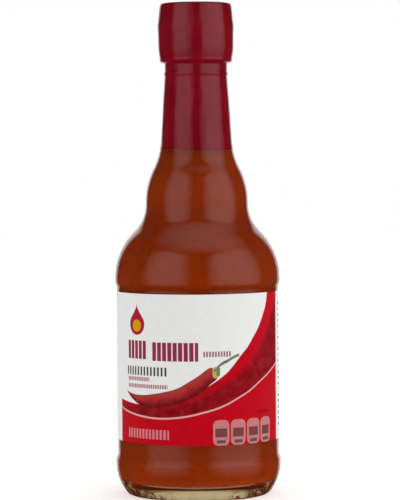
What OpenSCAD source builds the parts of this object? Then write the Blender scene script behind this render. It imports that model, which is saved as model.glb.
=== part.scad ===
// Hot sauce bottle: a waisted glass bottle with a recessed label panel, filled with sauce,
// shut by a plastic cap and sealed by a shrink sleeve over the cap and the neck.
// It stands on +Z with the middle of its base at the origin. Millimetres.

/* [Bottle] */
// Height of the glass, from the surface it stands on to its sealing lip
bottle_h = 202.9; // [170:0.1:244]
// Width across the two beads that guard the label
body_d = 69; // [57.5:0.5:83]
// Depth of the label panel below the beads
panel_recess = 0.75; // [0.6:0.05:0.9]
// Height of each step between a bead and the panel
step_h = 3.3; // [2.7:0.1:4]
// Flat stretch of each bead
bead_h = 1.2; // [1:0.1:1.5]
// Thickness of the glass in the label panel
wall = 1.9; // [1.5:0.1:2.3]

/* [Base] */
// Height at which the heel's curve reaches the lower bead
heel_h = 12.8; // [10.6:0.2:15.4]
// Radius of the heel's curve
heel_r = 18.9; // [15.7:0.1:22.7]
// Radius between the heel's curve and the bearing ring
foot_r = 2; // [1.6:0.1:2.4]
// Width of the flat ring that the bottle stands on
bearing_w = 3.6; // [3:0.1:4.4]
// Rise of the underside's dome inside the bearing ring
push_up = 2.8; // [2.3:0.1:3.4]
// Thickness of the glass above the bearing ring
base_t = 5.8; // [4.8:0.1:7]
// Rise of the floor inside the bottle towards its middle
floor_rise = 1.4; // [1.1:0.1:1.7]
// Radius inside the bottle between its floor and its wall
inside_heel_r = 10; // [8:0.5:12]

/* [Shoulder and neck] */
// Height from the waist up to the sealing lip
neck_h = 81.8; // [68:0.2:98.4]
// Width of the waist between the shoulder and the neck
waist_d = 42.7; // [35.5:0.1:51.3]
// Radius of the shoulder's rounded upper body
shoulder_r = 26.5; // [22:0.5:32]
// Radius of the hollow curve between the shoulder and the waist
waist_r = 16; // [13:0.5:19.5]
// Height of the straight waist
waist_h = 0.6; // [0.5:0.1:0.8]
// Radius of the swelling above the waist
swell_r = 31.5; // [26:0.5:38]
// Radius of the hollow curve from the swelling into the neck
throat_r = 32.1; // [26.7:0.1:38.6]
// Width of the neck where its taper ends
neck_d = 25.6; // [21.3:0.1:30.8]
// Slope of the neck's sides, in degrees from upright
neck_slope = 3.8; // [3.1:0.1:4.6]
// Thickness of the glass at the top of the neck
neck_wall = 3.2; // [2.6:0.1:3.9]

/* [Finish] */
// Height of the straight finish that the cap fits over
finish_h = 26.7; // [22.2:0.1:32.1]
// Height of the small bead between the neck and the finish
ring_h = 1.6; // [1.3:0.1:2]
// How far that bead stands out from the neck
ring_out = 0.3; // [0.25:0.05:0.4]
// Rounding of the sealing lip
lip_r = 0.8; // [0.6:0.1:1]

/* [Sauce] */
// Depth of the free space between the sauce and the sealing lip
headspace = 44; // [36.5:0.5:53]

/* [Label] */
// Bare panel left below the label
label_low = 6.1; // [5:0.1:7.4]
// Bare panel left above the label
label_high = 0.9; // [0.7:0.1:1.1]
// Thickness of the paper
label_t = 0.15; // [0.12:0.01:0.18]

/* [Cap] */
// Height of the cap's lower edge above the foot of the finish
cap_lift = 4.1; // [3.4:0.1:5]
// Thickness of the cap's top
cap_top = 1.6; // [1.3:0.1:2]
// Gap all round between the finish and the cap
cap_gap = 0.3; // [0.2:0.05:0.4]
// Thickness of the cap's skirt
cap_wall = 2.3; // [1.9:0.1:2.8]
// Inset of the cap's lower collar from the skirt
collar_inset = 0.5; // [0.4:0.1:0.6]
// Height of the lower collar
collar_h = 3.7; // [3.1:0.1:4.5]
// Chamfer of the collar's two edges
collar_edge = 0.5; // [0.4:0.1:0.6]
// Height of the lid above its seam
lid_h = 9.4; // [7.8:0.2:11.4]
// How far the lid tapers in from the skirt to its top edge
lid_taper = 0.65; // [0.5:0.05:0.8]
// How far the lid's rim stands out at the seam
seam_out = 0.25; // [0.2:0.05:0.3]
// Height of the lid's rim
seam_h = 1.8; // [1.5:0.1:2.2]
// Rounding of the lid's top edge
lid_edge_r = 0.8; // [0.6:0.1:1]

/* [Sleeve] */
// Distance that the sleeve reaches down from the sealing lip
sleeve_drop = 58.2; // [48:0.1:62]
// Thickness of the shrunk film
film_t = 0.25; // [0.15:0.05:0.3]
// Width of the film turned in over the cap's top
fold_w = 3; // [2.5:0.1:3.6]

/* [Hidden] */
$fn = 96;
// Steps that each arc of an outline is drawn with
arc_steps = 10;

body_r = body_d / 2;
panel_r = body_r - panel_recess;
inside_r = panel_r - wall;

// The waist's two ends, and the shoulder that the body's height leaves room for
waist_z = bottle_h - neck_h;
waist_top_z = waist_z + waist_h;
shoulder_in = body_r - waist_d / 2;
shoulder_h = step_rise(shoulder_in, shoulder_r, waist_r);
shoulder_z = waist_z - shoulder_h;

// The label panel, between the steps up to the two beads
panel_bottom_z = heel_h + bead_h + step_h;
panel_top_z = shoulder_z - bead_h - step_h;
step_r = (step_h * step_h + panel_recess * panel_recess) / (4 * panel_recess);
label_bottom_z = panel_bottom_z + label_low;
label_top_z = panel_top_z - label_high;

// The finish, and what stands on it
finish_r = neck_d / 2;
finish_z = bottle_h - finish_h;
bore_r = finish_r - neck_wall;
fill_z = bottle_h - headspace;
cap_z = finish_z + cap_lift;
cap_top_z = bottle_h + cap_top;
cap_bore_r = finish_r + cap_gap;
skirt_r = cap_bore_r + cap_wall;
collar_r = skirt_r - collar_inset;
collar_top_z = cap_z + collar_h;
seam_z = cap_top_z - lid_h;
lid_r = skirt_r - lid_taper;
sleeve_z = bottle_h - sleeve_drop;

// Centres of the heel's curve and of the small radius that ends it on the bearing ring
heel_c = [body_r - heel_r, heel_h];
foot_reach = sqrt(pow(heel_r - foot_r, 2) - pow(heel_h - foot_r, 2));
foot_c = [heel_c.x + foot_reach, foot_r];
foot_angle = atan2(foot_c.y - heel_c.y, foot_c.x - heel_c.x);

// Centre of the throat's curve, which touches both the swelling and the line of the neck
swell_c = [waist_d / 2 - swell_r, waist_top_z];
neck_down = [sin(neck_slope), -cos(neck_slope)];
neck_out = [cos(neck_slope), sin(neck_slope)];
throat_from = [finish_r, finish_z - ring_h] + throat_r * neck_out - swell_c;
throat_b = throat_from * neck_down;
throat_reach = -throat_b
    - sqrt(throat_b * throat_b - throat_from * throat_from + pow(swell_r + throat_r, 2));
throat_c = swell_c + throat_from + throat_reach * neck_down;
throat_angle = atan2(throat_c.y - swell_c.y, throat_c.x - swell_c.x);

// Points of an arc about c. Its first point is left out, as the outline is already there.
function arc(c, r, from, to) =
    [for (i = [1 : arc_steps]) let (a = from + (to - from) * i / arc_steps)
        c + r * [cos(a), sin(a)]];

// A shallow dome, from its middle out to its rim at a radius and height
function dome(rim_r, rim_z, rise) = let (r = (rim_r * rim_r + rise * rise) / (2 * rise))
    concat([[0, rim_z + rise]], arc([0, rim_z + rise - r], r, 90, 90 - asin(rim_r / r)));

// Height of a curve that steps in by a distance, rounded by one radius and hollowed by another
function step_rise(inwards, round_r, hollow_r) =
    sqrt(pow(round_r + hollow_r, 2) - pow(round_r + hollow_r - inwards, 2));

// A rising curve that leaves p upright, turns in by a distance and ends upright
function step_in(p, inwards, round_r, hollow_r) =
    let (a = acos(1 - inwards / (round_r + hollow_r)),
         rise = step_rise(inwards, round_r, hollow_r))
    concat(arc([p.x - round_r, p.y], round_r, 0, a),
           arc([p.x - inwards + hollow_r, p.y + rise], hollow_r, 180 + a, 180));

// The same curve turning out
function step_out(p, outwards, hollow_r, round_r) =
    let (a = acos(1 - outwards / (round_r + hollow_r)),
         rise = step_rise(outwards, round_r, hollow_r))
    concat(arc([p.x + hollow_r, p.y], hollow_r, 180, 180 - a),
           arc([p.x + outwards - round_r, p.y + rise], round_r, -a, 0));

// A path moved square to itself: outwards where the distance is positive and the path rises.
// The distance goes evenly with height from t0 at the path's start to t1 at its end.
function moved(path, t0, t1) =
    let (last = len(path) - 1)
    [for (i = [0 : last])
        let (before = path[max(i, 1)] - path[max(i, 1) - 1],
             after = path[min(i, last - 1) + 1] - path[min(i, last - 1)],
             n0 = [before.y, -before.x] / norm(before),
             n1 = [after.y, -after.x] / norm(after),
             share = (path[i].y - path[0].y) / (path[last].y - path[0].y))
        path[i] + 2 * (t0 + (t1 - t0) * share) * (n0 + n1) / ((n0 + n1) * (n0 + n1))];

// Radius of a rising path at a height, and the part of the path above that height
function radius_at(path, z) = lookup(z, [for (p = path) [p.y, p.x]]);
function above(path, z) = concat([[radius_at(path, z), z]], [for (p = path) if (p.y > z) p]);
function below(path, z) = concat([for (p = path) if (p.y < z) p], [[radius_at(path, z), z]]);

function reversed(path) = [for (i = [len(path) - 1 : -1 : 0]) path[i]];

// Outside of the glass, from the middle of its underside up to the upper bead
function heel_outline() = concat(
    dome(foot_c.x - bearing_w, 0, push_up),
    [[foot_c.x, 0]],
    arc(foot_c, foot_r, -90, foot_angle),
    arc(heel_c, heel_r, foot_angle, 0));

function panel_outline() = concat(
    [[body_r, heel_h + bead_h]],
    step_in([body_r, heel_h + bead_h], panel_recess, step_r, step_r),
    [[panel_r, panel_top_z]],
    step_out([panel_r, panel_top_z], panel_recess, step_r, step_r));

// Outside of the glass from the shoulder to the end of the neck's taper
function neck_outline() = concat(
    [[body_r, shoulder_z]],
    step_in([body_r, shoulder_z], shoulder_in, shoulder_r, waist_r),
    [swell_c + [swell_r, 0]],
    arc(swell_c, swell_r, 0, throat_angle),
    arc(throat_c, throat_r, 180 + throat_angle, 180 + neck_slope),
    [[finish_r, finish_z - ring_h]]);

// The small bead below the finish, and the finish up to where its lip begins to round
function finish_outline() = [
    [finish_r + ring_out, finish_z - ring_h * 2 / 3],
    [finish_r + ring_out, finish_z - ring_h / 3],
    [finish_r, finish_z],
    [finish_r, bottle_h - lip_r]];

// The inside, from the middle of the floor to the sealing lip, which shapes the sauce too
function inside_outline() = let (floor_r = inside_r - inside_heel_r) concat(
    dome(floor_r, base_t, floor_rise),
    arc([floor_r, base_t + inside_heel_r], inside_heel_r, -90, 0),
    moved(concat([[body_r, shoulder_z - bead_h]], neck_outline()),
          inside_r - body_r, -neck_wall),
    [[bore_r, finish_z], [bore_r, bottle_h - lip_r]]);

// Outside of the cap, from its collar's lower edge to the middle of its top
function cap_outline() = concat(
    [[collar_r - collar_edge, cap_z],
     [collar_r, cap_z + collar_edge],
     [collar_r, collar_top_z - collar_edge],
     [skirt_r, collar_top_z],
     [skirt_r, seam_z - seam_h / 2 - seam_out],
     [skirt_r + seam_out, seam_z - seam_h / 2],
     [skirt_r + seam_out, seam_z + seam_h / 2],
     [skirt_r, seam_z + seam_h / 2 + seam_out],
     [lid_r, cap_top_z - lid_edge_r]],
    arc([lid_r - lid_edge_r, cap_top_z - lid_edge_r], lid_edge_r, 0, 90));

// One piece of container glass, thick in its base and in its finish
module glass_bottle()
    color("#d9e2dc", 0.35)
        rotate_extrude()
            polygon(concat(
                heel_outline(), panel_outline(), neck_outline(), finish_outline(),
                arc([finish_r - lip_r, bottle_h - lip_r], lip_r, 0, 90),
                [[bore_r + lip_r, bottle_h]],
                arc([bore_r + lip_r, bottle_h - lip_r], lip_r, 90, 180),
                reversed(inside_outline())));

// The sauce fills the glass to its level in the neck
module hot_sauce()
    color("#8f2c10")
        rotate_extrude()
            polygon(concat(below(inside_outline(), fill_z), [[0, fill_z]]));

// The cap sits down on the sealing lip and clears the finish all round
module cap()
    color("#7a0a1c")
        rotate_extrude()
            polygon(concat(
                cap_outline(),
                [[0, cap_top_z],
                 [0, bottle_h],
                 [cap_bore_r, bottle_h],
                 [cap_bore_r, cap_z]]));

// Heat-shrunk film, skin tight on the neck and the cap, turned in over the cap's top
function sleeve_path() = concat(
    above(neck_outline(), sleeve_z),
    below(finish_outline(), cap_z),
    cap_outline(),
    [[lid_r - fold_w, cap_top_z]]);

module shrink_sleeve()
    color("#80081d")
        rotate_extrude()
            polygon(concat(moved(sleeve_path(), film_t, film_t), reversed(sleeve_path())));

// Paper wrapped once round the recessed panel
module paper_label()
    color("#c8102e")
        rotate_extrude()
            translate([panel_r, label_bottom_z])
                square([label_t, label_top_z - label_bottom_z]);

glass_bottle();
hot_sauce();
cap();
shrink_sleeve();
paper_label();
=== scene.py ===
# %% [markdown]
# # Hot sauce bottle
#
# This lesson gives a CAD model of a filled and sealed hot sauce bottle its looks. The CAD model has
# five solids: the glass, the sauce in it, a plastic cap, a shrink sleeve over the cap and the neck, and
# a paper label. Each of them is made again here as a finer piece on the very same outline, because a
# CAD solid arrives as coarse flat triangles, which glass and shiny film would show at once.
#
# Everything is in metres. The bottle stands on +Z with the middle of its base at the origin, and its
# label faces -Y.

import math
import random

import bmesh
import bpy
from mathutils import Matrix, Vector


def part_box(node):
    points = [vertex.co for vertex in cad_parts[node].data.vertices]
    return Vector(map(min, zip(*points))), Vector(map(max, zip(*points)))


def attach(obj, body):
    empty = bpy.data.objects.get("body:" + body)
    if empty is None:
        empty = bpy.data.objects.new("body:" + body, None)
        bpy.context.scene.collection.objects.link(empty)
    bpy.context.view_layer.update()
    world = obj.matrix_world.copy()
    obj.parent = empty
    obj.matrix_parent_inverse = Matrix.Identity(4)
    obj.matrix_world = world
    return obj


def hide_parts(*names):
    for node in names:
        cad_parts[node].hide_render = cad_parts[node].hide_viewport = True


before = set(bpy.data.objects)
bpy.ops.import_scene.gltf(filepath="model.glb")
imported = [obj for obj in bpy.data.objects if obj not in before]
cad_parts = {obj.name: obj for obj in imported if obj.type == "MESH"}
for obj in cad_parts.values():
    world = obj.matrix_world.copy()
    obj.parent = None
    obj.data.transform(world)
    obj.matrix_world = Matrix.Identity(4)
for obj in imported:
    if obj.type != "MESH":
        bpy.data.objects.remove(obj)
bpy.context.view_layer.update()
MM = 0.001
for node_name in sorted(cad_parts):
    low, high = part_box(node_name)
    print(node_name, "from", [round(x / MM, 2) for x in low], "to", [round(x / MM, 2) for x in high])

# %% [markdown]
# ## The camera
#
# The bottle is looked at from straight in front, a metre away and a little above its middle, with a
# long lens. A long lens keeps the sides of the bottle nearly parallel, as in a catalogue. The camera
# leans by less than half a degree, as a camera on a tripod often does.

# %% Place the camera
EYE = (0.0012, -0.999, 0.1407)
LENS = 171.8
LOOKS_DOWN = math.radians(2.23)
LEANS = math.radians(-0.39)

camera_data = bpy.data.cameras.new("camera")
camera_data.lens = LENS
camera_data.sensor_width = 36
camera = bpy.data.objects.new("camera", camera_data)
bpy.context.scene.collection.objects.link(camera)
facing = Matrix.Rotation(math.pi / 2 - LOOKS_DOWN, 4, "X") @ Matrix.Rotation(LEANS, 4, "Z")
camera.matrix_world = Matrix.Translation(EYE) @ facing
bpy.context.scene.camera = camera
print("camera", round(Vector(EYE).length, 3), "m from the foot of the bottle")

# %% [markdown]
# ## Helpers for modelling
#
# Blender's operators act on whatever is selected, as they do by hand. So each step first selects one
# piece alone, opens it for editing, and picks the vertices, edges or faces that the next operator
# should work on by where they are or which way they face.

# %% Select and pick


def only(piece):
    """Selects one piece alone and makes it the active one."""
    if bpy.context.object and bpy.context.object.mode != "OBJECT":
        bpy.ops.object.mode_set(mode="OBJECT")
    bpy.ops.object.select_all(action="DESELECT")
    piece.select_set(True)
    bpy.context.view_layer.objects.active = piece


def edit(piece):
    """Opens one piece for editing, with operators set to work on points."""
    only(piece)
    bpy.ops.object.mode_set(mode="EDIT")
    bpy.ops.mesh.select_mode(type="VERT")


def pick(piece, domain, test):
    """Selects the verts, edges or faces of the open piece that pass a test, and returns how many."""
    bpy.ops.mesh.select_mode(type={"verts": "VERT", "edges": "EDGE", "faces": "FACE"}[domain])
    bpy.ops.mesh.select_all(action="DESELECT")
    mesh = bmesh.from_edit_mesh(piece.data)
    chosen = [part for part in getattr(mesh, domain) if test(part)]
    for part in chosen:
        part.select_set(True)
    bmesh.update_edit_mesh(piece.data)
    return len(chosen)


def from_axis(point):
    """Distance of a point from the bottle's axis."""
    return math.hypot(point.x, point.y)


def is_outside(vertex):
    """True where a point's normal leads away from the bottle's axis."""
    return vertex.normal.x * vertex.co.x + vertex.normal.y * vertex.co.y > 0


def finish_shape(piece, sharp):
    """Shades a piece smooth, but for edges over an angle in degrees, and prints how large it is."""
    only(piece)
    bpy.ops.object.shade_smooth_by_angle(angle=math.radians(sharp))
    corners = [Vector(corner) for corner in piece.bound_box]
    low = [round(min(c[i] for c in corners) / MM, 2) for i in range(3)]
    high = [round(max(c[i] for c in corners) / MM, 2) for i in range(3)]
    print(piece.name, "from", low, "to", high, "with", len(piece.data.polygons), "faces")


# %% [markdown]
# ## The outline of a turned piece
#
# Every part of this bottle is round, so one cut through the axis says all about its shape. A copy of
# the CAD mesh has its loose triangles merged and is cut in two, and only the cut's outline on the +X
# side is kept. Long straight runs are divided, so that the finished piece has points wherever a ripple
# or a ridge is wanted. Then the outline is spun round the axis in many small steps. Drawing the outline
# by hand would work too, but cutting it from the CAD model keeps every size exactly right.

# %% Cut an outline and spin it


def outline_of(node, name, longest):
    """A new piece that is the outline of a CAD node on the +X side, with no run longer than given."""
    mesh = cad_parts[node].data.copy()
    mesh.name = name
    mesh.materials.clear()
    piece = bpy.data.objects.new(name, mesh)
    bpy.context.scene.collection.objects.link(piece)
    edit(piece)
    bpy.ops.mesh.select_all(action="SELECT")
    bpy.ops.mesh.remove_doubles(threshold=0.001 * MM)
    bpy.ops.mesh.bisect(plane_co=(0, 0, 0), plane_no=(0, 1, 0), clear_inner=True)
    bpy.ops.mesh.select_all(action="INVERT")
    bpy.ops.mesh.delete(type="VERT")
    bpy.ops.mesh.select_all(action="SELECT")
    bpy.ops.mesh.bisect(plane_co=(0, 0, 0), plane_no=(1, 0, 0), clear_inner=True)
    while pick(piece, "edges", lambda edge: edge.calc_length() > longest):
        bpy.ops.mesh.subdivide(number_cuts=1)
    return piece


def spin_round(piece, steps):
    """Spins the outline once round the axis and closes it, with its faces outwards."""
    bpy.ops.mesh.select_mode(type="VERT")
    bpy.ops.mesh.select_all(action="SELECT")
    bpy.ops.mesh.spin(steps=steps, angle=math.tau, center=(0, 0, 0), axis=(0, 0, 1))
    bpy.ops.mesh.select_all(action="SELECT")
    bpy.ops.mesh.remove_doubles(threshold=0.001 * MM)
    bpy.ops.mesh.normals_make_consistent(inside=False)


# %% [markdown]
# ## Helpers for modifiers
#
# A Displace modifier pushes points along their normals by the value of a procedural texture. An empty
# object carries the texture's scale, so that the same clouds can be stretched into long streaks. The
# modifier is applied and the empty removed, so only real shape is left.

# %% Ripple a surface


def weigh(piece, name, weight):
    """A vertex group, where weight gives each vertex's share from its place and normal."""
    group = piece.vertex_groups.new(name=name)
    for vertex in piece.data.vertices:
        group.add([vertex.index], max(0.0, min(1.0, weight(vertex))), "REPLACE")
    return name


def ripple(piece, group, height, size, stretch=(1, 1, 1), direction="NORMAL", middle=0.5):
    """Pushes a piece in and out over a height, with lumps of one size that are stretched by axis."""
    only(piece)
    texture = bpy.data.textures.new("clouds", "CLOUDS")
    texture.noise_scale = size
    texture.noise_depth = 1
    gauge = bpy.data.objects.new("gauge", None)
    gauge.scale = stretch
    bpy.context.scene.collection.objects.link(gauge)
    bpy.context.view_layer.update()
    push = piece.modifiers.new("ripple", "DISPLACE")
    push.texture = texture
    push.texture_coords = "OBJECT"
    push.texture_coords_object = gauge
    push.vertex_group = group
    push.direction = direction
    push.mid_level = middle
    push.strength = height
    bpy.ops.object.modifier_apply(modifier="ripple")
    bpy.data.objects.remove(gauge)
    bpy.data.textures.remove(texture)


# %% [markdown]
# ## The glass bottle
#
# The bottle is blown in a mould that opens in two halves. That leaves a fine raised seam up each side,
# and a wall that isn't perfectly even: its surface runs in broad shallow waves that bend the
# reflections a little. The ring that the bottle stands on is stippled with small pockets, so that the
# hot glass touches the conveyor at few points and any scratches stay off the smooth wall.
#
# The seams are two vertical edges of the spun mesh, bevelled to the width of a real seam and lifted.
# The pockets are made from every few faces of the standing ring, inset and pushed up into the glass
# twice, so that they are rounded. Each runs on over the foot's curve as a shallow scoop. A bump map
# could fake both, but the pockets are seen through the clear base as well, and only real shape bends
# the light there.

# %% Spin the glass
GLASS_STEPS = 176
LONGEST_RUN = 4 * MM
glass = outline_of("glass_bottle", "bottle_glass", LONGEST_RUN)
spin_round(glass, GLASS_STEPS)
print("glass has", len(bmesh.from_edit_mesh(glass.data).verts), "points")

# %% Stipple the standing ring
POCKET_STEPS = 8
RING_OUT = 28.5 * MM
# Millimetres inwards and upwards, for the pocket's edge, its slope and its rounded floor.
POCKET_INSETS = [(0.35, 0), (0.3, 0.3), (0.45, 0.25)]
step_angle = math.tau / GLASS_STEPS


def in_pocket(face):
    """True for the standing ring's faces that a pocket is made from: half of each group of steps."""
    middle = face.calc_center_median()
    step = int((math.atan2(middle.y, middle.x) % math.tau) / step_angle)
    on_ring = abs(middle.z) < 0.001 * MM and from_axis(middle) < RING_OUT
    return on_ring and step % POCKET_STEPS < POCKET_STEPS / 2


print("pocket faces", pick(glass, "faces", in_pocket))
for inwards, upwards in POCKET_INSETS:
    bpy.ops.mesh.inset(thickness=inwards * MM, depth=-upwards * MM, use_individual=False)

# %% Scoop the foot outside each pocket
FOOT_LOW = 0.12 * MM
FOOT_HIGH = 2.0 * MM
SCOOP = 0.4 * MM


def on_foot(vertex):
    """True for points of the curve outside the ring, beside the middle of each pocket."""
    turn = (math.atan2(vertex.co.y, vertex.co.x) % math.tau) / step_angle
    beside = 0.5 < turn % POCKET_STEPS < POCKET_STEPS / 2 - 0.5
    return is_outside(vertex) and beside and FOOT_LOW < vertex.co.z < FOOT_HIGH


print("scooped points of the foot", pick(glass, "verts", on_foot))
bpy.ops.transform.shrink_fatten(value=-SCOOP)

# %% Raise the mould seams
SEAM_W = 0.3 * MM
SEAM_OUT = 0.08 * MM
SEAM_LOW = 1 * MM
SEAM_HIGH = 174 * MM
THINNEST_NECK = 12.7 * MM


def on_seam(edge):
    """True for the upright edges of the outer wall where the two halves of the mould meet."""
    ends = [vertex.co for vertex in edge.verts]
    outward = all(v.normal.x * v.co.x > 0 or v.normal.z > 0.9 for v in edge.verts)
    in_line = all(abs(p.y) < 0.001 * MM and abs(p.x) > THINNEST_NECK for p in ends)
    return in_line and outward and all(SEAM_LOW < p.z < SEAM_HIGH for p in ends)


print("seam edges", pick(glass, "edges", on_seam))
bpy.ops.mesh.bevel(offset=SEAM_W, segments=2, affect="EDGES", profile=0.5)
# The seam's two ends stay down, so that it runs out softly.
raised = pick(glass, "verts", lambda v: abs(v.co.y) < 0.01 * MM and v.normal.x * v.co.x > 0
              and SEAM_LOW + 0.5 * MM < v.co.z < SEAM_HIGH - 1 * MM)
bpy.ops.transform.shrink_fatten(value=SEAM_OUT)
print("raised", raised, "points of the seams")

# %% Give the wall its waves
PANEL_LOW = 21 * MM
PANEL_HIGH = 88 * MM
HEEL_TOP = 3 * MM
bpy.ops.object.mode_set(mode="OBJECT")


def outer_wall(vertex):
    """Full on the outside of the wall, apart from the foot and the panel that the label lies on."""
    clear = HEEL_TOP < vertex.co.z < PANEL_LOW or vertex.co.z > PANEL_HIGH
    return float(is_outside(vertex) and clear)


waves = weigh(glass, "waves", outer_wall)
ripple(glass, waves, height=0.09 * MM, size=11 * MM, stretch=(1, 1, 2.2))
finish_shape(glass, sharp=32)

# %% [markdown]
# ## The sauce
#
# The sauce fills the glass to a level in the neck. There is no air between a liquid and its bottle, so
# the piece is grown a little into the wall. If it only touched the wall, the render would show a thin
# bright line of air. The top is hidden by the sleeve, but it is still given the raised rim with which a
# liquid clings to glass.

# %% Spin the sauce and let it reach into the wall
REACH = 0.2 * MM
SAUCE_STEPS = 144
CLING_W = 1.2 * MM
CLING_UP = 0.5 * MM
sauce = outline_of("hot_sauce", "sauce_fill", LONGEST_RUN)
spin_round(sauce, SAUCE_STEPS)
sauce_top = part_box("hot_sauce")[1].z
near_top = sauce_top - 0.3 * MM
pick(sauce, "faces", lambda f: f.calc_center_median().z < sauce_top - 0.01 * MM)
bpy.ops.transform.shrink_fatten(value=REACH)
bore = max(from_axis(v.co) for v in bmesh.from_edit_mesh(sauce.data).verts if v.co.z > near_top)
pick(sauce, "faces", lambda f: f.calc_center_median().z > near_top and f.normal.z > 0.9)
bpy.ops.mesh.inset(thickness=CLING_W, depth=0)
bpy.ops.mesh.inset(thickness=CLING_W, depth=-0.25 * MM)
rim = pick(sauce, "verts", lambda v: v.co.z > near_top and from_axis(v.co) > bore - 0.05 * MM)
bpy.ops.transform.translate(value=(0, 0, CLING_UP))
print("sauce reaches", round(bore / MM, 2), "mm from the axis at its top, rim of", rim, "points")
finish_shape(sauce, sharp=40)

# %% [markdown]
# ## The cap
#
# The cap is injection moulded. Only a disc of its top shows, inside the ring of film that is turned in
# over its edge. A moulded cap has a shallow dish there, so that it doesn't rock on the mould's ejector,
# and a small round mark in the middle where the plastic was let in. Both are inset from the top faces.

# %% Spin the cap and mark its top
CAP_STEPS = 128
DISH_R = 10.6 * MM
GATE_ZONE_R = 3 * MM
GATE_INSET = 1.4 * MM
cap = outline_of("cap", "moulded_cap", LONGEST_RUN)
spin_round(cap, CAP_STEPS)
cap_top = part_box("cap")[1].z


def cap_face_within(radius, level):
    """Picks the cap's upward faces within a radius of the axis, above a level."""
    return pick(cap, "faces", lambda f: f.normal.z > 0.9 and f.calc_center_median().z > level
                and from_axis(f.calc_center_median()) < radius)


print("dish faces", cap_face_within(DISH_R, cap_top - 0.1 * MM))
bpy.ops.mesh.inset(thickness=0.3 * MM, depth=-0.3 * MM)
bpy.ops.mesh.inset(thickness=0.3 * MM, depth=-0.08 * MM)
print("gate faces", cap_face_within(GATE_ZONE_R, cap_top - 0.6 * MM))
bpy.ops.mesh.inset(thickness=GATE_INSET, depth=0)
bpy.ops.mesh.inset(thickness=0.15 * MM, depth=0.2 * MM)
finish_shape(cap, sharp=35)

# %% [markdown]
# ## The shrink sleeve
#
# The sleeve is a tube of printed film, dropped over the cap and the neck and shrunk by hot air. It
# clings to every step beneath it, but it can't follow a sharp inside corner, so it spans the corner
# under the cap in a small curve. Shrinking leaves long shallow streaks down the neck, a lower edge that
# wanders a little, small pleats where the film is turned in over the cap's top, and an overlapped seam
# up the back.
#
# The outline comes from the CAD model again. The corner is bevelled, the edge and the wall are rippled
# with stretched clouds, and the pleats are lifted one by one.

# %% Spin the sleeve
SLEEVE_STEPS = 216
LET_OUT = 1.007
CORNER_R = 1.2 * MM
sleeve = outline_of("shrink_sleeve", "shrink_sleeve_film", 1.3 * MM)
sleeve_low, sleeve_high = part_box("shrink_sleeve")
CAP_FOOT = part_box("cap")[0].z
pick(sleeve, "verts", lambda v: CAP_FOOT + 2 * MM < v.co.z < sleeve_high.z - 1.5 * MM and v.co.x > 14 * MM)
bpy.ops.mesh.vertices_smooth(factor=0.5, repeat=5)
# Smoothing drew the film into the ridge of the cap, so it is let out again by 0.1 mm.
bpy.ops.transform.resize(value=(LET_OUT, 1, 1), center_override=(0, 0, 0))
corner = pick(sleeve, "verts", lambda v: abs(v.co.z - CAP_FOOT) < 0.5 * MM and v.co.x < 13.3 * MM)
bpy.ops.mesh.bevel(offset=CORNER_R, segments=4, affect="VERTICES")
print("rounded", corner, "points of the corner under the cap")
spin_round(sleeve, SLEEVE_STEPS)
print("sleeve has", len(bmesh.from_edit_mesh(sleeve.data).verts), "points")

# %% Turn out the lower edge and lap the back seam
EDGE_BAND = 0.9 * MM
EDGE_OUT = 0.12 * MM
LAP_HALF_W = 1.7 * MM
LAP_OUT = 0.1 * MM
flare = pick(sleeve, "verts", lambda v: v.co.z < sleeve_low.z + EDGE_BAND and is_outside(v))
bpy.ops.transform.shrink_fatten(value=EDGE_OUT)
lap = pick(sleeve, "verts", lambda v: abs(v.co.x) < LAP_HALF_W and v.co.y > 0
           and v.co.z < sleeve_high.z - 1 * MM and is_outside(v))
bpy.ops.transform.shrink_fatten(value=LAP_OUT)
print("flared", flare, "points and lapped", lap)

# %% Pleat the film over the cap's top
dice = random.Random(7)
LID_R = 14.7 * MM
# The least and the most: the turn to the next pleat, and a pleat's height and its gap to the edge in mm.
PLEAT_TURN = (0.13, 0.3)
PLEAT_UP = (0.08, 0.2)
PLEAT_GAP = (1.2, 2.0)
pleat_angles = []
angle = 0.0
while angle < math.tau - 0.12:
    pleat_angles.append(angle)
    angle += dice.uniform(*PLEAT_TURN)
for angle in pleat_angles:
    across = Vector((-math.sin(angle), math.cos(angle), 0))
    along = Vector((math.cos(angle), math.sin(angle), 0))
    pick(sleeve, "verts", lambda v: v.co.z > sleeve_high.z - 0.15 * MM and abs(v.co.dot(across)) < 0.25 * MM
         and v.co.dot(along) > 0 and from_axis(v.co) < LID_R - dice.uniform(*PLEAT_GAP) * MM)
    bpy.ops.transform.translate(value=(0, 0, dice.uniform(*PLEAT_UP) * MM))
print("pleats", len(pleat_angles))
bpy.ops.object.mode_set(mode="OBJECT")

# %% Ripple the film
WAVY_BAND = 7 * MM


def sleeve_edge(vertex):
    """Full at the lower edge, and nothing from the height of the wavy band above it."""
    return 1 - (vertex.co.z - sleeve_low.z) / WAVY_BAND


def sleeve_wall(vertex):
    """Full on the outside of the film, where it doesn't lie on the cap's top."""
    return float(is_outside(vertex) and vertex.co.z < sleeve_high.z - 0.4 * MM)


wavy = weigh(sleeve, "edge", sleeve_edge)
ripple(sleeve, wavy, height=1.3 * MM, size=9 * MM, direction="Z", middle=1.0)
wall = weigh(sleeve, "wall", sleeve_wall)
ripple(sleeve, wall, height=0.22 * MM, size=5 * MM, stretch=(1, 1, 3.5))
ripple(sleeve, wall, height=0.07 * MM, size=2 * MM, stretch=(1, 1, 2))
finish_shape(sleeve, sharp=50)

# %% [markdown]
# ## The paper label
#
# The label is one strip of paper, glued round the recessed panel with its ends overlapping at the back.
# The strip's section is turned to the back of the bottle and spun once round from there. Its end is
# then lifted by a little more than a thickness of paper, so that it lies clear, and is spun on by a few
# degrees over the start of the strip.

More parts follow.
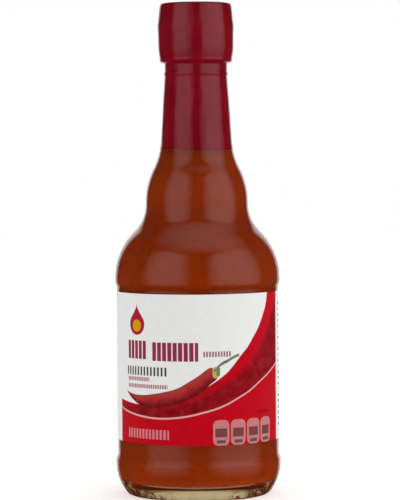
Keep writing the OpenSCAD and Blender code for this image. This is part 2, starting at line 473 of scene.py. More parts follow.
# %% Wrap the strip of paper
LABEL_STEPS = 180
LAP_STEPS = 5
PAPER = 0.15 * MM
label = outline_of("paper_label", "label_paper", 2.5 * MM)
label_low, label_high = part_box("paper_label")
label_r = label_high.x
bpy.ops.mesh.select_all(action="SELECT")
bpy.ops.transform.rotate(value=-math.pi / 2, orient_axis="Z", center_override=(0, 0, 0))
starts = [v.co.y > 0 for v in bmesh.from_edit_mesh(label.data).verts]
print("the strip starts at the back:", all(starts))

bpy.ops.mesh.spin(steps=LABEL_STEPS, angle=math.tau, center=(0, 0, 0), axis=(0, 0, 1), use_auto_merge=False)
lift = 1 + 1.15 * PAPER / label_r
bpy.ops.transform.resize(value=(lift, lift, 1), center_override=(0, 0, 0))
lap_angle = math.tau * LAP_STEPS / LABEL_STEPS
bpy.ops.mesh.spin(steps=LAP_STEPS, angle=lap_angle, center=(0, 0, 0), axis=(0, 0, 1), use_auto_merge=False)
bpy.ops.mesh.select_all(action="SELECT")
bpy.ops.mesh.fill_holes(sides=0)
bpy.ops.mesh.select_all(action="SELECT")
bpy.ops.mesh.normals_make_consistent(inside=False)
bpy.ops.object.mode_set(mode="OBJECT")
print("the paper laps over itself by", round(lap_angle * label_r / MM, 1), "mm")

# %% [markdown]
# Paper wrinkles a little as the glue dries. The outside is pushed out by a few hundredths of a
# millimetre in broad soft lumps. The side on the glass stays where it is.

# %% Wrinkle the paper


def printed_side(vertex):
    """Full on the side of the paper that faces out."""
    return float(is_outside(vertex))


printed = weigh(label, "printed", printed_side)
ripple(label, printed, height=0.08 * MM, size=14 * MM, stretch=(1, 1, 0.7), middle=0.0)
finish_shape(label, sharp=50)

# %% [markdown]
# The print has to follow the paper, so the label needs a map that unrolls it: across the map runs the
# distance along the paper from the middle of the front, and up the map runs the height. Each face is
# unrolled round its own middle, so that no face is torn at the back. Once round takes 0.98 of the map,
# which leaves a little room for the faces that reach past the back.

# %% Unroll the label onto a map
ROUND_SHARE = 0.98
UNROLLED = math.tau * label_r
LABEL_H = label_high.z - label_low.z
layer = label.data.uv_layers.new(name="unrolled")
for face in label.data.polygons:
    middle = math.atan2(face.center.x, -face.center.y)
    for corner in face.loop_indices:
        place = label.data.vertices[label.data.loops[corner].vertex_index].co
        turn = math.atan2(place.x, -place.y)
        turn += math.tau * round((middle - turn) / math.tau)
        layer.uv[corner].vector = (0.5 + ROUND_SHARE * turn / math.tau, (place.z - label_low.z) / LABEL_H)
print("label unrolls to", round(UNROLLED / MM, 1), "by", round(LABEL_H / MM, 1), "mm")

# %% [markdown]
# ## Helpers for materials
#
# Colours are written as the hex values that a maker would read off a swatch, and one function turns
# them into the linear values that light is computed with. Another function adds a node to a material,
# sets it, and links what feeds it.

# %% Colour and node helpers


def linear(code):
    """The linear colour of an sRGB hex value, with its alpha."""
    channels = [int(code[i:i + 2], 16) / 255 for i in (1, 3, 5)]
    return [c / 12.92 if c <= 0.04045 else ((c + 0.055) / 1.055) ** 2.4 for c in channels] + [1.0]


def add_node(tree, kind, inputs=None, **settings):
    """Adds a node with its settings. Each input is given a value, or the socket that feeds it."""
    node = tree.nodes.new(kind)
    for name, value in settings.items():
        setattr(node, name, value)
    for key, value in (inputs or {}).items():
        if isinstance(value, bpy.types.NodeSocket):
            tree.links.new(value, node.inputs[key])
        else:
            node.inputs[key].default_value = value
    return node


def new_material(name):
    """An empty material, and its node tree."""
    material = bpy.data.materials.new(name)
    material.use_nodes = True
    material.node_tree.nodes.clear()
    return material, material.node_tree


def finish_with(tree, shader, piece, material):
    """Puts the shader out and the material on a piece."""
    add_node(tree, "ShaderNodeOutputMaterial", {"Surface": shader.outputs[0]})
    piece.data.materials.clear()
    piece.data.materials.append(material)
    print(material.name, "has", len(tree.nodes), "nodes")


def set_ramp(ramp, stops):
    """Gives a colour ramp its stops, each a place from 0 to 1 and a hex colour."""
    elements = ramp.color_ramp.elements
    while len(elements) < len(stops):
        elements.new(0.5)
    for element, (place, code) in zip(elements, stops):
        element.position = place
        element.color = linear(code)


# %% [markdown]
# ## Container glass
#
# This is soda-lime glass, blown in a mould. It is clear with the faintest green-grey, its surface is
# fire polished, so its reflections are sharp, and they waver where the mould was cooler. Its index of
# refraction is 1.52. The colour is a plain value, because the tint is in the glass itself.

# %% Glass material
GLASS_IOR = 1.52
glass_material, tree = new_material("soda_lime_glass_blown")
place = add_node(tree, "ShaderNodeTexCoord")
# Object coordinates are metres, so this turns them into millimetres.
in_mm = add_node(tree, "ShaderNodeMapping", {"Vector": place.outputs["Object"], "Scale": (1000, 1000, 1000)})
# Waves from the cooler spots of the mould, about 7 mm across.
waver = add_node(tree, "ShaderNodeTexNoise", {"Vector": in_mm.outputs[0], "Scale": 1 / 7.0, "Detail": 1.0})
waver_bump = add_node(tree, "ShaderNodeBump",
                      {"Height": waver.outputs["Fac"], "Strength": 0.25, "Distance": 0.1 * MM})
shader = add_node(tree, "ShaderNodeBsdfPrincipled", {
    "Base Color": linear("#f4f6f0"),
    "Roughness": 0.04,
    "IOR": GLASS_IOR,
    "Transmission Weight": 1.0,
    "Normal": waver_bump.outputs[0]})
finish_with(tree, shader, glass, glass_material)

# %% [markdown]
# ## Hot sauce
#
# The sauce is a puree of aged red peppers in vinegar, opaque from its fine pulp. Poured out it is a
# bright brick orange. In the bottle it looks far darker and browner, because the glass wets it: much of
# the light that it scatters can't leave the glass at once and passes through the pulp again. The render
# works that out by itself, so the colour given here is the poured one. Seen head on, sauce has no shine
# of its own against glass. Seen at a low angle, as through the thick base, their border is a mirror.

# %% Sauce material
SAUCE_IOR = 1.36
sauce_material, tree = new_material("pepper_puree_sauce")
place = add_node(tree, "ShaderNodeTexCoord")
in_mm = add_node(tree, "ShaderNodeMapping", {"Vector": place.outputs["Object"], "Scale": (1000, 1000, 1000)})
# Slow clouds where pulp has gathered, about 16 mm across.
clouds = add_node(tree, "ShaderNodeTexNoise", {"Vector": in_mm.outputs[0], "Scale": 1 / 16.0, "Detail": 3.0})
puree = add_node(tree, "ShaderNodeValToRGB", {"Fac": clouds.outputs["Fac"]})
set_ramp(puree, [(0.3, "#be4008"), (0.7, "#c84809")])
# Flecks of pepper skin, 1.5 mm long, that stand out only here and there.
flecks = add_node(tree, "ShaderNodeTexNoise", {"Vector": in_mm.outputs[0], "Scale": 1 / 1.5, "Detail": 2.0})
fleck_share = add_node(tree, "ShaderNodeMapRange",
                       {"Value": flecks.outputs["Fac"], "From Min": 0.52, "From Max": 0.72, "To Max": 0.4})
fleck_mix = add_node(tree, "ShaderNodeMix", {0: fleck_share.outputs[0], 6: puree.outputs[0],
                                             7: linear("#a83206")}, data_type="RGBA")
wet = add_node(tree, "ShaderNodeBsdfPrincipled", {
    "Base Color": fleck_mix.outputs[2],
    "Roughness": 0.6,
    "IOR": SAUCE_IOR,
    "Specular IOR Level": 0.0})
# Sauce bends light less than glass does, so at a low angle their border is a mirror.
border = add_node(tree, "ShaderNodeFresnel", {"IOR": SAUCE_IOR / GLASS_IOR})
# The pulp that lies against the glass takes some of the light, so the mirror is straw coloured.
mirror = add_node(tree, "ShaderNodeBsdfAnisotropic", {"Color": linear("#c6b28c"), "Roughness": 0.1})
shader = add_node(tree, "ShaderNodeMixShader", {0: border.outputs[0], 1: wet.outputs[0],
                                                2: mirror.outputs[0]})
finish_with(tree, shader, sauce, sauce_material)

# %% [markdown]
# ## Moulded cap
#
# The cap is polypropylene, injection moulded in dark red. The mould's top was turned on a lathe, which
# leaves very fine rings and a satin shine.

# %% Cap material
cap_material, tree = new_material("polypropylene_moulded")
place = add_node(tree, "ShaderNodeTexCoord")
in_mm = add_node(tree, "ShaderNodeMapping", {"Vector": place.outputs["Object"], "Scale": (1000, 1000, 1000)})
# Turning marks 0.1 mm apart are too fine to show, so they are drawn 0.6 mm apart. A wave texture of
# scale 1 has a wave every 0.314 mm or so, which is about 1 / pi.
rings = add_node(tree, "ShaderNodeTexWave",
                 {"Vector": in_mm.outputs[0], "Scale": 1 / (0.6 * math.pi), "Distortion": 0.4},
                 wave_type="RINGS", rings_direction="Z")
ring_bump = add_node(tree, "ShaderNodeBump",
                     {"Height": rings.outputs["Fac"], "Strength": 0.25, "Distance": 0.02 * MM})
grain = add_node(tree, "ShaderNodeTexNoise", {"Vector": in_mm.outputs[0], "Scale": 1 / 0.9, "Detail": 2.0})
satin = add_node(tree, "ShaderNodeMapRange",
                 {"Value": grain.outputs["Fac"], "To Min": 0.3, "To Max": 0.46})
shade = add_node(tree, "ShaderNodeValToRGB", {"Fac": grain.outputs["Fac"]})
set_ramp(shade, [(0.35, "#74061a"), (0.65, "#7e0a1f")])
shader = add_node(tree, "ShaderNodeBsdfPrincipled", {
    "Base Color": shade.outputs[0],
    "Roughness": satin.outputs[0],
    "IOR": 1.49,
    "Normal": ring_bump.outputs[0]})
finish_with(tree, shader, cap, cap_material)

# %% [markdown]
# ## Shrink film
#
# The sleeve is PETG film, printed solid dark red on its inside and shrunk by hot air. The clear
# plastic over the ink gives it a smooth shine, softened where it has drawn together into fine streaks
# down the neck. The ink thins a little where the film has stretched, so its colour is uneven.

# %% Film material
film_material, tree = new_material("petg_shrink_film_printed")
place = add_node(tree, "ShaderNodeTexCoord")
in_mm = add_node(tree, "ShaderNodeMapping", {"Vector": place.outputs["Object"], "Scale": (1000, 1000, 1000)})
# Shrink streaks, 1.4 mm wide and some 10 mm long.
along_neck = add_node(tree, "ShaderNodeMapping", {"Vector": in_mm.outputs[0], "Scale": (1, 1, 0.14)})
streaks = add_node(tree, "ShaderNodeTexNoise", {"Vector": along_neck.outputs[0], "Scale": 1 / 1.4,
                                                "Detail": 2.0})
streak_bump = add_node(tree, "ShaderNodeBump",
                       {"Height": streaks.outputs["Fac"], "Strength": 0.35, "Distance": 0.06 * MM})
# Ink that has thinned in patches about 9 mm across.
patches = add_node(tree, "ShaderNodeTexNoise", {"Vector": in_mm.outputs[0], "Scale": 1 / 9.0, "Detail": 3.0})
ink = add_node(tree, "ShaderNodeValToRGB", {"Fac": patches.outputs["Fac"]})
set_ramp(ink, [(0.3, "#780014"), (0.7, "#860019")])
haze = add_node(tree, "ShaderNodeMapRange",
                {"Value": patches.outputs["Fac"], "To Min": 0.08, "To Max": 0.18})
shader = add_node(tree, "ShaderNodeBsdfPrincipled", {
    "Base Color": ink.outputs[0],
    "Roughness": haze.outputs[0],
    "IOR": 1.5,
    "Normal": streak_bump.outputs[0]})
finish_with(tree, shader, sleeve, film_material)

# %% [markdown]
# ## Printed label
#
# The label is coated paper, printed in a few flat inks with a matt varnish. Its design is made of simple
# fields and shapes, and each is a mask: a number that is 1 inside the shape and 0 outside. A mask comes
# from comparing a place on the paper with an edge. Straight edges are plain numbers, and curved edges
# are drawn with a curve node that gives the edge's height for each distance along the paper. All
# distances below are millimetres, along the paper from the middle of the front to the right, and up
# from the surface that the bottle stands on. There is no lettering: rows of plain blocks hold the place
# that words would have.

# %% Places on the paper
label_material, tree = new_material("coated_paper_printed")
unrolled = add_node(tree, "ShaderNodeUVMap", uv_map="unrolled")
parts = add_node(tree, "ShaderNodeSeparateXYZ", {0: unrolled.outputs[0]})
paper_w = UNROLLED / MM / ROUND_SHARE
along = add_node(tree, "ShaderNodeMath", {0: parts.outputs[0], 1: paper_w, 2: -paper_w / 2},
                 operation="MULTIPLY_ADD").outputs[0]
up = add_node(tree, "ShaderNodeMath", {0: parts.outputs[1], 1: LABEL_H / MM, 2: label_low.z / MM},
              operation="MULTIPLY_ADD").outputs[0]
on_paper = add_node(tree, "ShaderNodeCombineXYZ", {0: along, 1: up}).outputs[0]
# Ink never lies even, so soft patches 4.5 mm across are used to vary each colour a little.
mottle = add_node(tree, "ShaderNodeTexNoise", {"Vector": on_paper, "Scale": 1 / 4.5, "Detail": 4.0,
                                               "Roughness": 0.6})
print("paper is", round(paper_w, 1), "mm of map wide")

# %% Shapes that the print is made of
CURVE_END = 50


def edge(points):
    """The height of a curved edge that runs through points, each a distance along and a height."""
    share = add_node(tree, "ShaderNodeMapRange",
                     {"Value": along, "From Min": -CURVE_END, "From Max": CURVE_END})
    curve = add_node(tree, "ShaderNodeFloatCurve", {"Value": share.outputs[0]})
    line = curve.mapping.curves[0]
    spots = [((a + CURVE_END) / (2 * CURVE_END), h / 100) for a, h in points]
    line.points[0].location = spots[0]
    line.points[1].location = spots[-1]
    for spot in spots[1:-1]:
        line.points.new(*spot)
    curve.mapping.update()
    return add_node(tree, "ShaderNodeMath", {0: curve.outputs[0], 1: 100.0}, operation="MULTIPLY").outputs[0]


def below(height, soft=0.15):
    """A mask of all that lies below an edge, over a soft border in millimetres."""
    gap = add_node(tree, "ShaderNodeMath", {0: height, 1: up}, operation="SUBTRACT")
    return add_node(tree, "ShaderNodeMapRange", {"Value": gap.outputs[0], "From Min": -soft,
                                                 "From Max": soft}).outputs[0]


def overlap(masks, minus=None):
    """A mask of what lies in all of some masks, with one more mask cut away from it."""
    kept = masks[0]
    for mask in masks[1:]:
        kept = add_node(tree, "ShaderNodeMath", {0: kept, 1: mask}, operation="MULTIPLY").outputs[0]
    if minus:
        kept = add_node(tree, "ShaderNodeMath", {0: kept, 1: minus}, operation="SUBTRACT",
                        use_clamp=True).outputs[0]
    return kept


# %% Blocks, strokes and round corners


def block(left, right, low, high, across=None):
    """A mask of an upright rectangle, along the paper or along another distance."""
    wide = add_node(tree, "ShaderNodeMath", {0: across or along, 1: (left + right) / 2,
                                             2: (right - left) / 2}, operation="COMPARE")
    tall = add_node(tree, "ShaderNodeMath", {0: up, 1: (low + high) / 2, 2: (high - low) / 2},
                    operation="COMPARE")
    return overlap([wide.outputs[0], tall.outputs[0]])


def strokes(left, right, low, high, pitch, width):
    """A mask of a row of upright strokes, a pitch apart from middle to middle."""
    shifted = add_node(tree, "ShaderNodeMath", {0: along, 1: left + width / 2}, operation="SUBTRACT")
    wave = add_node(tree, "ShaderNodeMath", {0: shifted.outputs[0], 1: pitch / 2}, operation="PINGPONG")
    each = add_node(tree, "ShaderNodeMath", {0: wave.outputs[0], 1: width / 2}, operation="LESS_THAN")
    return overlap([each.outputs[0], block(left, right, low, high)])


def rounded(middle, level, half_w, half_h, corner, across=None):
    """A mask of a rectangle with round corners."""
    offset = add_node(tree, "ShaderNodeMath", {0: across or along, 1: middle}, operation="SUBTRACT")
    rise = add_node(tree, "ShaderNodeMath", {0: up, 1: level}, operation="SUBTRACT")
    place = add_node(tree, "ShaderNodeCombineXYZ", {0: offset.outputs[0], 1: rise.outputs[0]})
    size = add_node(tree, "ShaderNodeVectorMath", {0: place.outputs[0]}, operation="ABSOLUTE")
    past = add_node(tree, "ShaderNodeVectorMath",
                    {0: size.outputs[0], 1: (half_w - corner, half_h - corner, 0)}, operation="SUBTRACT")
    kept = add_node(tree, "ShaderNodeVectorMath", {0: past.outputs[0], 1: (0, 0, 0)}, operation="MAXIMUM")
    length = add_node(tree, "ShaderNodeVectorMath", {0: kept.outputs[0]}, operation="LENGTH")
    return add_node(tree, "ShaderNodeMath", {0: length.outputs["Value"], 1: corner},
                    operation="LESS_THAN").outputs[0]


# %% [markdown]
# The front is a white field above a red one. They meet in a wide swoosh that climbs to the right.
# Below its edge runs a thin pale line. The red between the two is darker and mottled, apart from a
# bright border along the white.

# %% Fields and lines of the front
LINE_HALF_H = 0.38
swoosh = edge([(-50, 43.5), (-40.4, 41.1), (-33, 40.1), (-28.2, 39.7), (-20, 40.2), (-8, 42.6), (0, 45.4),
               (4.8, 48.0), (9.4, 51.0), (12.4, 53.3), (15.1, 56.1), (18.4, 59.8), (21.9, 63.3),
               (24.6, 66.8), (27.6, 70.6), (30.2, 74.9), (32.8, 80.1), (34, 84.8), (38, 99), (50, 100)])
line_edge = edge([(-50, 42.0), (-38.2, 37.1), (-31.5, 35.7), (-25.8, 34.9), (-17.1, 34.3), (-10.8, 34.6),
                  (-4.2, 35.5), (2.3, 37.0), (7.2, 38.3), (12.3, 40.2), (16.9, 42.4), (22.3, 45.0),
                  (28.6, 48.6), (35.2, 51.9), (40.2, 54.2), (50, 58)])
deep_edge = edge([(-50, 38), (-36, 38.4), (-20, 40.5), (-5, 42.5), (5, 45.5), (13, 49.5), (20.5, 54.5),
                  (27.2, 60.5), (33.5, 68.5), (39, 77.5), (43.5, 87), (47, 95), (50, 100)])
front = block(-40.4, 42.8, 20, 90)
red_field = overlap([front, below(swoosh)])
deep_red = overlap([red_field, below(deep_edge, 2.2)], minus=below(line_edge, 0.1))
near_line = add_node(tree, "ShaderNodeMath", {0: up, 1: line_edge, 2: LINE_HALF_H}, operation="COMPARE")
pale_line = overlap([front, near_line.outputs[0]])
print("fields and line drawn with", len(tree.nodes), "nodes")

# %% [markdown]
# A red chili lies across the swoosh, with its tip at the left and a green stalk at the right. Its
# shading is a colour ramp from its lower edge, which is in shadow and nearly brown, to its upper one.
# The uneven ink makes it a little patchy.

# %% The chili
STALK_HALF_H = 0.62
chili_top = edge([(-50, 52), (-37, 46.5), (-35.3, 45.2), (-31.5, 43.9), (-24.6, 43.6), (-18.9, 44.3),
                  (-13.4, 45.4), (-8.6, 46.8), (-4.1, 49.3), (0.4, 52.1), (3.2, 54.2), (5.0, 55.2),
                  (6.6, 54.9), (7.9, 53.2), (8.6, 51), (12, 45), (50, 44)])
chili_low = edge([(-50, 60), (-37, 48.5), (-35.3, 45.3), (-33, 42.9), (-30, 41.0), (-28.2, 40.1),
                  (-24.7, 39.1), (-16.1, 38.8), (-7, 41.1), (-2.9, 42.8), (2.4, 46.0), (4.8, 48.2),
                  (7.6, 50.4), (9, 52), (50, 60)])
chili = overlap([below(chili_top)], minus=below(chili_low))
chili_span = add_node(tree, "ShaderNodeMath", {0: chili_top, 1: chili_low}, operation="SUBTRACT")
chili_rise = add_node(tree, "ShaderNodeMath", {0: up, 1: chili_low}, operation="SUBTRACT")
chili_share = add_node(tree, "ShaderNodeMath", {0: chili_rise.outputs[0], 1: chili_span.outputs[0]},
                       operation="DIVIDE")
patchy = add_node(tree, "ShaderNodeMath", {0: mottle.outputs["Fac"], 1: 0.8, 2: chili_share.outputs[0]},
                  operation="MULTIPLY_ADD")
chili_tone = add_node(tree, "ShaderNodeMapRange", {"Value": patchy.outputs[0], "From Min": 0.4,
                                                   "From Max": 1.4})
chili_ramp = add_node(tree, "ShaderNodeValToRGB", {"Fac": chili_tone.outputs[0]})
set_ramp(chili_ramp, [(0.0, "#641014"), (0.28, "#8e1a20"), (0.55, "#ac2a30"), (0.8, "#b43a36"),
                      (1.0, "#a03c24")])
stalk_edge = edge([(-50, 50), (7.0, 54.2), (8.2, 55.4), (10.2, 56.9), (12.5, 57.9), (14.7, 59.1),
                   (17.9, 60.2), (20, 60.4), (50, 61)])
near_stalk = add_node(tree, "ShaderNodeMath", {0: up, 1: stalk_edge, 2: STALK_HALF_H}, operation="COMPARE")
stalk = overlap([near_stalk.outputs[0], block(6.5, 17.6, 50, 65)])
calyx = rounded(7.3, 53.2, 1.3, 2.3, 1.2)
calyx_dark = rounded(8.3, 53.6, 0.8, 1.9, 0.7)
print("chili and stalk drawn, now", len(tree.nodes), "nodes")

# %% [markdown]
# The smaller print is rows of strokes and blocks: a wide row for a title, a finer grey one below it,
# thin lines under that, a pale row for the contents, and four small panels at the right. A plain drop
# stands in the upper corner.

# %% Rows, panels and a drop
# A row of strokes is given as left, right, low, high, pitch and width.
title = strokes(-33.6, -22.3, 58.3, 65.8, 2.25, 1.7)
title_right = strokes(-19.6, 0.2, 57.8, 65.4, 2.3, 1.8)
tiny = strokes(2.2, 14.2, 59.6, 61.8, 1.2, 0.8)
subtitle = strokes(-34.4, -12.9, 51.6, 55.2, 1.7, 0.88)
fine_upper = strokes(-33.8, -21.2, 49.3, 50.9, 1.1, 0.8)
fine_lower = strokes(-33.8, -12.6, 46.4, 48.0, 1.1, 0.8)
contents = strokes(-33.9, -12.2, 25.7, 29.6, 1.75, 1.1)
# The paper is folded again and again at half the panels' pitch, so that one panel is drawn four times.
PANEL_HALF_PITCH = 3.8
shifted = add_node(tree, "ShaderNodeMath", {0: along, 1: 9.5}, operation="SUBTRACT")
folded = add_node(tree, "ShaderNodeMath", {0: shifted.outputs[0], 1: PANEL_HALF_PITCH},
                  operation="PINGPONG")
panel_across = folded.outputs[0]
panels = overlap([block(5.7, 36.1, 20, 40), rounded(0, 28.6, 3.45, 5.2, 2.2, across=panel_across)])
panel_bars = overlap([panels, block(-1, 2.5, 26.8, 30.4, across=panel_across)])
panel_foot = overlap([panels, block(-1, 1.9, 24.3, 25.6, across=panel_across)])
dark_bar = block(26.5, 34.2, 35.6, 36.9)
DROP_AT = -28.0
DROP_LOW = 72.5
DROP_HIGH = 81.0
DROP_R = 4.4
drop_w = add_node(tree, "ShaderNodeMapRange", {"Value": up, "From Min": DROP_LOW, "From Max": DROP_HIGH,
                                               "To Min": DROP_R, "To Max": 0.0},
                  interpolation_type="SMOOTHSTEP")
drop_side = add_node(tree, "ShaderNodeMath", {0: along, 1: DROP_AT, 2: drop_w.outputs[0]},
                     operation="COMPARE")
drop_tip = overlap([drop_side.outputs[0], block(DROP_AT - 6, DROP_AT + 6, DROP_LOW, DROP_HIGH)])
drop_bowl = rounded(DROP_AT, DROP_LOW, DROP_R, DROP_R, DROP_R)
drop_heart = rounded(DROP_AT, 71.9, 2.5, 2.5, 2.5)
print("front drawn, now", len(tree.nodes), "nodes")

# %% [markdown]
# Round the back, where a real label has its small print, there are ragged rows of dashes, an outlined
# table of plain rules and a block of even stripes.

# %% The back of the label
ROW_PITCH = 2.4
DASH_SHARE = 0.45
GAP_BELOW = 0.44
row_share = add_node(tree, "ShaderNodeMath", {0: up, 1: ROW_PITCH}, operation="DIVIDE")
row = add_node(tree, "ShaderNodeMath", {0: row_share.outputs[0]}, operation="FLOOR")
in_row = add_node(tree, "ShaderNodeMath", {0: row_share.outputs[0]}, operation="FRACT")
row_mask = add_node(tree, "ShaderNodeMath", {0: in_row.outputs[0], 1: DASH_SHARE}, operation="LESS_THAN")
# Each row reads the noise far from the row before it, so that no two rows are alike.
row_shift = add_node(tree, "ShaderNodeMath", {0: row.outputs[0], 1: 13.7}, operation="MULTIPLY")
dash_place = add_node(tree, "ShaderNodeCombineXYZ", {0: along, 1: row_shift.outputs[0]})
dashes = add_node(tree, "ShaderNodeTexNoise", {"Vector": dash_place.outputs[0], "Scale": 0.45,
                                               "Detail": 0.0})
dash_mask = add_node(tree, "ShaderNodeMath", {0: dashes.outputs["Fac"], 1: GAP_BELOW},
                     operation="GREATER_THAN")
written = overlap([row_mask.outputs[0], dash_mask.outputs[0]])
side_text = overlap([written, block(46.5, 60, 27, 82)])
story = overlap([written, block(-97, -50, 52, 82)])
table = block(64, 100, 27, 82)
table_inside = block(64.5, 99.5, 27.5, 81.5)
rules = overlap([written, block(65.5, 98.5, 29, 80)])
table_rim = overlap([table], minus=table_inside)
stripes = strokes(-92, -58, 29, 45, 1.4, 0.6)
print("print drawn with", len(tree.nodes), "nodes")

# %% [markdown]
# Each ink is laid over the one before it, as on a press, and the wide fields are a little uneven. The
# matt varnish leaves hardly any shine, and the grain of the paper breaks up what there is.

# %% Ink, varnish and paper
deep_ink = add_node(tree, "ShaderNodeValToRGB", {"Fac": mottle.outputs["Fac"]})
set_ramp(deep_ink, [(0.32, "#7c020e"), (0.5, "#920a1a"), (0.68, "#9c1c28")])
bright_ink = add_node(tree, "ShaderNodeValToRGB", {"Fac": mottle.outputs["Fac"]})
set_ramp(bright_ink, [(0.3, "#c00018"), (0.7, "#ca021c")])
stalk_ink = add_node(tree, "ShaderNodeValToRGB", {"Fac": mottle.outputs["Fac"]})
set_ramp(stalk_ink, [(0.35, "#5f6e4b"), (0.65, "#7f9070")])

INKS = [
    (red_field, bright_ink.outputs[0]),
    (deep_red, deep_ink.outputs[0]),
    (pale_line, linear("#e6aaa4")),
    (chili, chili_ramp.outputs[0]),
    (calyx, linear("#c8b26a")),
    (calyx_dark, linear("#7a8a45")),
    (stalk, stalk_ink.outputs[0]),
    (title, linear("#96304a")),
    (title_right, linear("#96304a")),
    (tiny, linear("#ac7680")),
    (subtitle, linear("#4a4c48")),
    (fine_upper, linear("#b87484")),
    (fine_lower, linear("#b87484")),
    (contents, linear("#d88088")),
    (panels, linear("#cf7f82")),
    (panel_bars, linear("#7c4644")),
    (panel_foot, linear("#66564e")),
    (dark_bar, linear("#a80410")),
    (drop_tip, linear("#b11a38")),
    (drop_bowl, linear("#b11a38")),
    (drop_heart, linear("#e0a010")),
    (side_text, linear("#7a7a7a")),
    (story, linear("#7a7a7a")),
    (table_rim, linear("#3c3c3c")),
    (rules, linear("#6a6a6a")),
    (stripes, linear("#2c2c2c")),
]
colour = add_node(tree, "ShaderNodeValToRGB", {"Fac": mottle.outputs["Fac"]})
set_ramp(colour, [(0.3, "#f1f2f1"), (0.7, "#f5f5f3")])
colour = colour.outputs[0]
for mask, ink in INKS:
    colour = add_node(tree, "ShaderNodeMix", {0: mask, 6: colour, 7: ink}, data_type="RGBA").outputs[2]
# Paper grain about 0.25 mm across.
grain = add_node(tree, "ShaderNodeTexNoise", {"Vector": on_paper, "Scale": 1 / 0.25, "Detail": 2.0})
grain_bump = add_node(tree, "ShaderNodeBump",
                      {"Height": grain.outputs["Fac"], "Strength": 0.2, "Distance": 0.01 * MM})
varnish = add_node(tree, "ShaderNodeMapRange",
                   {"Value": mottle.outputs["Fac"], "To Min": 0.42, "To Max": 0.54})
shader = add_node(tree, "ShaderNodeBsdfPrincipled", {
    "Base Color": colour,
    "Roughness": varnish.outputs[0],
    "Specular IOR Level": 0.05,
    "Normal": grain_bump.outputs[0]})
finish_with(tree, shader, label, label_material)

# %% [markdown]
# ## Put the pieces on the CAD model
#
# Each piece rides on the root body, and the CAD solid that it was made from is hidden, so that the piece
# shows in its place.

# %% Ride and replace
PIECES = [
    (glass, "glass_bottle", "glass"),
    (sauce, "hot_sauce", "sauce"),
    (cap, "cap", "cap"),
    (sleeve, "shrink_sleeve", "sleeve"),
    (label, "paper_label", "label"),
]
for piece, node_name, slot_name in PIECES:
    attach(piece, "root")
    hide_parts(node_name)
print("pieces", [piece.name for piece, _, _ in PIECES])

# %% [markdown]
# ## Studio
#
# The bottle stands on a plain white floor in a white room. Two tall soft boxes stand to the left and
# the right of the camera, with a dark gap between them, which gives the glass and the film two long
# soft highlights with a dark strip between. Their edges fade, as cloth in front of a lamp does. A third
# soft box hangs overhead, wide and close to the camera, so that the hollow of the waist catches it. A
# weak sheet of light at the right has no reflection of its own. It only makes that side a little
# brighter. A lit backdrop is seen only through the glass and in it. The floor isn't mirrored in the
# glass, as if the bottle stood on a narrow block.

# %% Sheets of light
scene = bpy.context.scene
scene.view_settings.view_transform = "Standard"


def glowing_sheet(name, middle, turned, size, strength, fade=0.0):
    """A plane that gives light, with edges that fade over a share of its size."""
    bpy.ops.object.select_all(action="DESELECT")
    bpy.ops.mesh.primitive_plane_add(size=1, location=middle, rotation=turned)
    sheet = bpy.context.object
    sheet.name = name
    sheet.scale = (size[0], size[1], 1)
    material, tree = new_material(name)
    glow = add_node(tree, "ShaderNodeEmission", {"Color": (1, 1, 1, 1), "Strength": strength})
    if fade:
        spot = add_node(tree, "ShaderNodeTexCoord")
        across = add_node(tree, "ShaderNodeSeparateXYZ", {0: spot.outputs["UV"]})
        power = strength
        for axis in (0, 1):
            fold = add_node(tree, "ShaderNodeMath", {0: across.outputs[axis], 1: 0.5}, operation="PINGPONG")
            soft = add_node(tree, "ShaderNodeMapRange", {"Value": fold.outputs[0], "From Max": fade},
                            interpolation_type="SMOOTHSTEP")
            power = add_node(tree, "ShaderNodeMath", {0: soft.outputs[0], 1: power},
                             operation="MULTIPLY").outputs[0]
        tree.links.new(power, glow.inputs["Strength"])
    finish_with(tree, glow, sheet, material)
    return sheet


def soft_box(name, side, distance, width, height, level, strength):
    """An upright soft box, turned to the bottle, at an angle in degrees to the right of the camera."""
    turn = math.radians(side)
    middle = (distance * math.sin(turn), -distance * math.cos(turn), level)
    box = glowing_sheet(name, middle, (math.pi / 2, 0, turn), (width, height), strength, fade=0.38)
    box.visible_camera = False
    return box


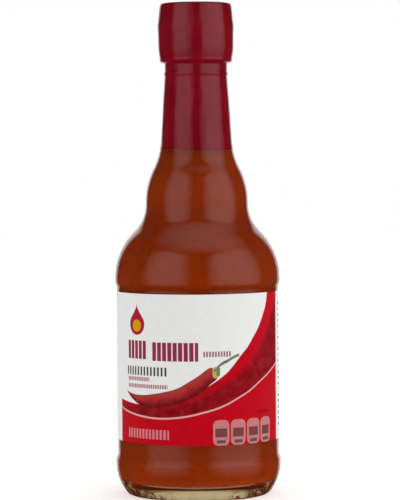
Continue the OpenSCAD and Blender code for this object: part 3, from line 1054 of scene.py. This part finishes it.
# %% Light the bottle
soft_box("soft_box_left", side=-46, distance=1.15, width=2.0, height=2.5, level=0.6, strength=0.84)
soft_box("soft_box_right", side=57, distance=1.15, width=2.6, height=2.5, level=0.6, strength=1.04)
overhead = glowing_sheet("soft_box_overhead", middle=(0.3, -0.3, 1.3), turned=(math.pi, 0, 0),
                         size=(3.4, 2.0), strength=0.65, fade=0.4)
overhead.visible_camera = False
fill = glowing_sheet("fill_sheet", middle=(1.3, 0.1, 0.3), turned=(math.pi / 2, 0, math.pi / 2),
                     size=(1.6, 1.8), strength=1.2)
fill.visible_camera = False
fill.visible_glossy = False
backdrop = glowing_sheet("backdrop", middle=(0, 1.25, 0.6), turned=(math.pi / 2, 0, 0),
                         size=(1.8, 2.4), strength=1.0, fade=0.22)
backdrop.visible_camera = False
backdrop.visible_diffuse = False

# %% Lay the floor
bpy.ops.mesh.primitive_plane_add(size=6, location=(0, 0, -0.02 * MM))
floor = bpy.context.object
floor.name = "floor"
floor_material, tree = new_material("white_floor")
# The floor glows a little, as a lit table does. Its glow is turned down near the foot, which is a painted
# shadow under the bottle.
spot = add_node(tree, "ShaderNodeTexCoord")
from_foot = add_node(tree, "ShaderNodeVectorMath", {0: spot.outputs["Object"]}, operation="LENGTH")
glow_with_painted_shadow = add_node(tree, "ShaderNodeMapRange", {"Value": from_foot.outputs["Value"], "From Min": 10 * MM,
                                            "From Max": 26 * MM, "To Min": 0.2, "To Max": 0.5})
matt = add_node(tree, "ShaderNodeBsdfPrincipled", {
    "Base Color": linear("#f2f2f0"),
    "Roughness": 0.8,
    "Specular IOR Level": 0.0,
    "Emission Color": (1, 1, 1, 1),
    "Emission Strength": glow_with_painted_shadow.outputs[0]})
finish_with(tree, matt, floor, floor_material)
floor.visible_glossy = False

# %% [markdown]
# The room itself is white where it is seen, gives an even light to matt surfaces, and is nearly dark
# in reflections, as a studio is outside its lamps.

# %% The room
world = bpy.data.worlds.new("studio")
scene.world = world
world.use_nodes = True
tree = world.node_tree
tree.nodes.clear()
rays = add_node(tree, "ShaderNodeLightPath")
seen = add_node(tree, "ShaderNodeMix", {0: rays.outputs["Is Diffuse Ray"], 2: 0.03, 3: 1.06})
through = add_node(tree, "ShaderNodeMix", {0: rays.outputs["Is Transmission Ray"],
                                           2: seen.outputs[0], 3: 0.86})
power = add_node(tree, "ShaderNodeMix", {0: rays.outputs["Is Camera Ray"], 2: through.outputs[0], 3: 1.0})
room = add_node(tree, "ShaderNodeBackground", {"Color": (1, 1, 1, 1), "Strength": power.outputs[0]})
add_node(tree, "ShaderNodeOutputWorld", {"Surface": room.outputs[0]})
